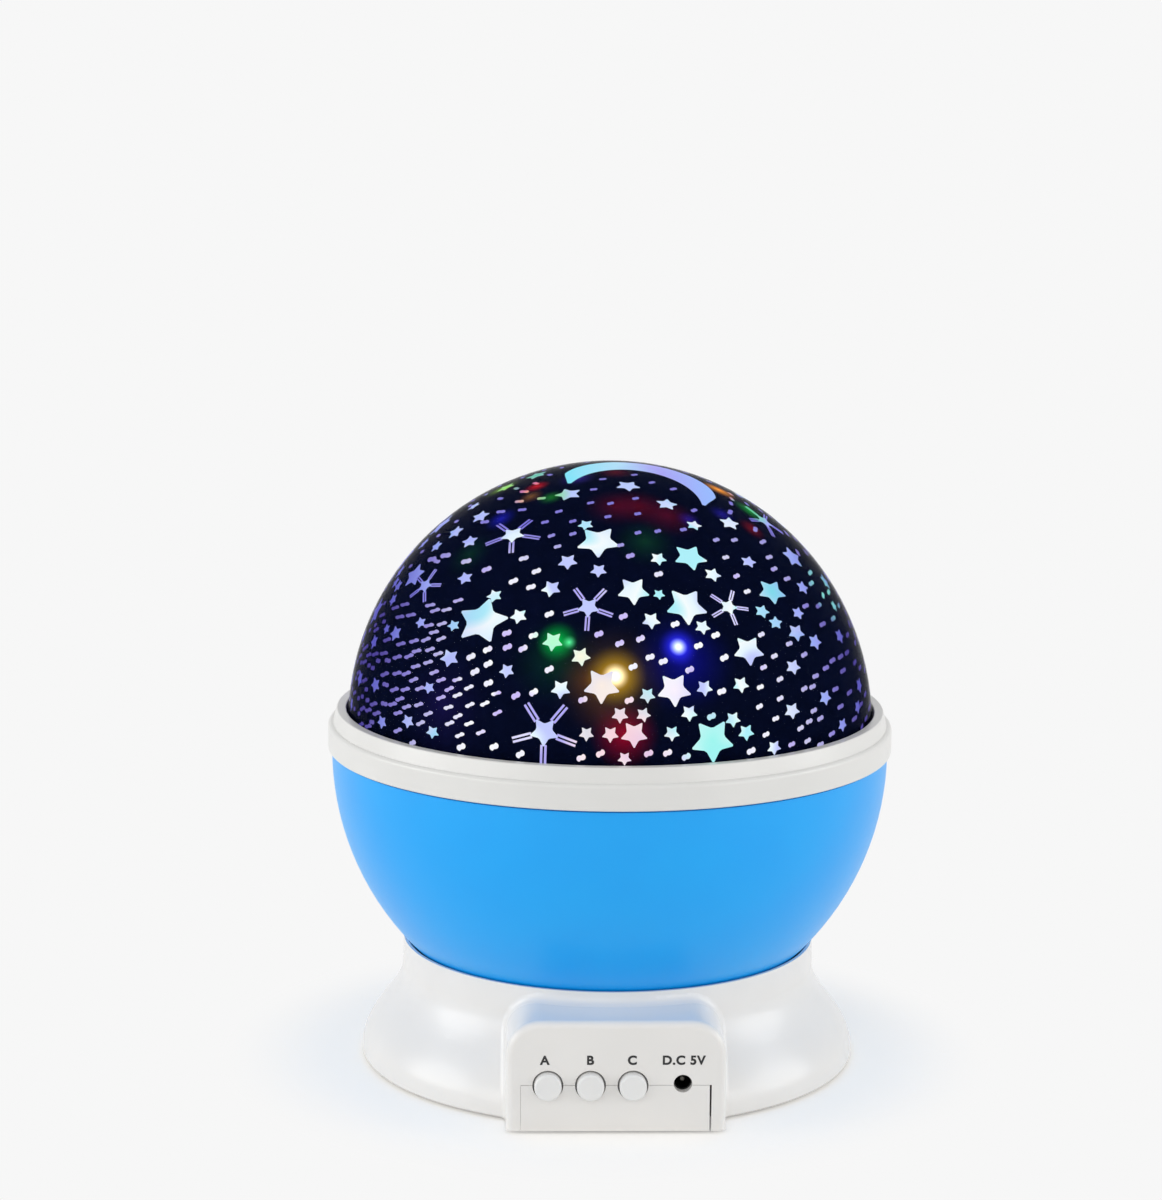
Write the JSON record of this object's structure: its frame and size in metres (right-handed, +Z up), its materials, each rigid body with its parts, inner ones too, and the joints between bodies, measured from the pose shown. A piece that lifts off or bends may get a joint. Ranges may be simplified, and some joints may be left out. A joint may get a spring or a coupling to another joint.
{
  "type": "planetarium projector",
  "caption": "Star projector night light: a dark dome with star windows on a blue bowl that turns on a flared white base with push buttons and a DC jack.",
  "frame": {"origin": "on the table, under the axis that the bowl turns on", "axes": "+Z up along the bowl's axis, -Y towards the control panel, +X to the right when facing the panel"},
  "size_m": [0.1294, 0.1294, 0.1382],
  "materials": {
    "housing_white": "glossy moulded ABS, pale grey-white",
    "plate_white": "glossy moulded ABS, pale grey-white",
    "button_white": "satin moulded ABS",
    "ring_white": "glossy moulded ABS, warm off-white",
    "bowl_blue": "glossy moulded ABS, sky blue",
    "dome_clear": "clear polystyrene, polished",
    "mask_black": "glossy black film with star windows",
    "dish_white": "white reflector",
    "stem_white": "moulded ABS",
    "gear_white": "moulded acetal",
    "deck_grey": "moulded ABS",
    "gearbox_black": "moulded nylon",
    "washer_white": "PTFE",
    "steel": "zinc-plated steel",
    "spring_steel": "nickel-plated strip",
    "cell_jacket": "printed jacket, plain colours",
    "board_green": "solder mask on glass fibre board",
    "board_white": "white solder mask on glass fibre board",
    "black_plastic": "moulded black plastic",
    "foot_rubber": "grey rubber",
    "lead_red": "PVC insulation",
    "led_warm": "warm white lens, lit",
    "led_red": "red lens, lit",
    "led_green": "green lens, lit",
    "led_blue": "blue lens, lit"
  },
  "bodies": {
    "base": {"base_shell": "housing_white", "bottom_plate": "plate_white", "case_screws": "steel", "rubber_feet": "foot_rubber", "battery_cells": "cell_jacket", "battery_contact_minus": "spring_steel", "battery_contact_plus": "spring_steel", "battery_link_front": "spring_steel", "battery_links_rear": "spring_steel", "control_board": "board_green", "board_screws": "steel", "controller_chip": "black_plastic", "switch_bodies": "black_plastic", "dc_jack_body": "black_plastic", "dc_jack_pin": "spring_steel", "dc_jack_contact": "spring_steel", "motor_deck": "deck_grey", "deck_screws": "steel", "gearbox": "gearbox_black", "motor": "steel", "motor_screws": "steel", "slip_washer": "washer_white", "lamp_stem": "stem_white", "stem_screws": "steel", "lamp_board": "board_white", "lamp_board_screws": "steel", "led_warm": "led_warm", "led_red": "led_red", "led_green": "led_green", "led_blue": "led_blue", "lamp_leads": "lead_red", "motor_leads": "lead_red"},
    "rotor": {"turntable_gear": "gear_white", "hub_screws": "steel", "bowl": "bowl_blue", "rim_ring": "ring_white", "reflector_dish": "dish_white", "dish_screws": "steel"},
    "dome": {"dome_shell": "dome_clear", "star_mask": "mask_black"},
    "pinion_drive": {"pinion": "gear_white", "motor_shaft": "steel"},
    "button_a_body": {"button_a": "button_white", "switch_plunger_a": "black_plastic"},
    "button_b_body": {"button_b": "button_white", "switch_plunger_b": "black_plastic"},
    "button_c_body": {"button_c": "button_white", "switch_plunger_c": "black_plastic"},
    "battery_door_body": {"battery_door": "plate_white"}
  },
  "joints": [
    {"name": "bowl_spin", "type": "hinge", "parent": "base", "child": "rotor", "pos_m": [0, 0, 0.0208], "axis": [0, 0, 1], "continuous": true},
    {"name": "pinion_spin", "type": "hinge", "parent": "base", "child": "pinion_drive", "pos_m": [0, 0.028, 0.017], "axis": [0, 0, 1], "continuous": true},
    {"name": "dome_lift", "type": "slide", "parent": "rotor", "child": "dome", "axis": [0, 0, 1], "range_m": [0, 0.06]},
    {"name": "button_a_press", "type": "slide", "parent": "base", "child": "button_a_body", "axis": [0, 1, 0], "range_m": [0, 0.0012], "stiffness_N_per_m": 300},
    {"name": "button_b_press", "type": "slide", "parent": "base", "child": "button_b_body", "axis": [0, 1, 0], "range_m": [0, 0.0012], "stiffness_N_per_m": 300},
    {"name": "button_c_press", "type": "slide", "parent": "base", "child": "button_c_body", "axis": [0, 1, 0], "range_m": [0, 0.0012], "stiffness_N_per_m": 300},
    {"name": "door_drop", "type": "slide", "parent": "base", "child": "battery_door_body", "axis": [0, 0, -1], "range_m": [0, 0.02]}
  ],
  "couplings": [
    {"joint": "pinion_spin", "follows": "bowl_spin", "ratio": -4.8333}
  ]
}
